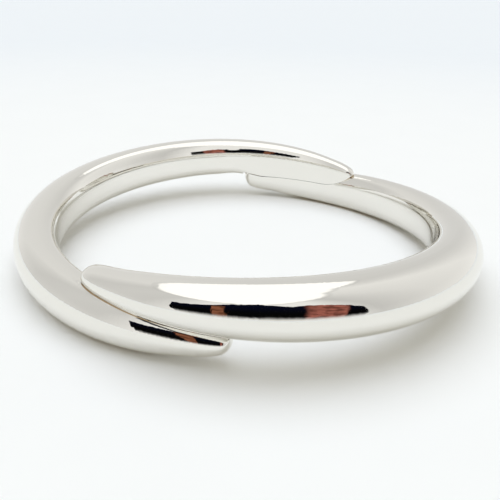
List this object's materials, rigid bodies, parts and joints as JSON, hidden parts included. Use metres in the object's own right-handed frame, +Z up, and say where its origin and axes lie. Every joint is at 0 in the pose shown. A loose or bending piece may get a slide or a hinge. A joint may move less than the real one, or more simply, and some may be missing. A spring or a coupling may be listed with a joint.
{
  "type": "hinged crossover bangle bracelet",
  "caption": "Round polished crossover bangle of tapered hollow crescents that overlap at both crossings, with a hidden screw hinge and a sprung ball catch.",
  "frame": {"origin": "on the ring's axis, at the level of the surface the closed bangle lies on", "axes": "+Z up along the ring's axis; +X through the middle of the right crescent; hinge at +Y, catch at -Y"},
  "size_m": [0.0746, 0.071, 0.0118],
  "materials": {
    "polished_silver": "mirror-polished sterling silver",
    "white_steel": "turned steel",
    "ball_steel": "polished ball",
    "spring_steel": "drawn wire",
    "bronze": "turned bronze washer"
  },
  "bodies": {
    "left_half": {"left_outer_shell": "polished_silver", "left_inner_band": "polished_silver", "left_high_tail": "polished_silver", "left_low_tail": "polished_silver", "hinge_screw": "white_steel", "hinge_bush": "white_steel", "hinge_washer": "bronze", "catch_strike": "white_steel"},
    "right_half": {"right_outer_shell": "polished_silver", "right_inner_band": "polished_silver", "right_high_tail": "polished_silver", "right_low_tail": "polished_silver", "catch_barrel": "white_steel", "catch_plug": "white_steel", "catch_spring": "spring_steel"},
    "ball": {"catch_ball": "ball_steel"}
  },
  "joints": [
    {"name": "hinge", "type": "hinge", "parent": "left_half", "child": "right_half", "pos_m": [-0.00611, 0.03146, 0.005], "axis": [0, 0, 1], "range_deg": [0, 40]},
    {"name": "ball_slide", "type": "slide", "parent": "right_half", "child": "ball", "axis": [0, 0, 1], "range_m": [0, 0.0004], "stiffness_N_per_m": 400, "springref_m": -0.001, "deforming": ["catch_spring"]}
  ]
}
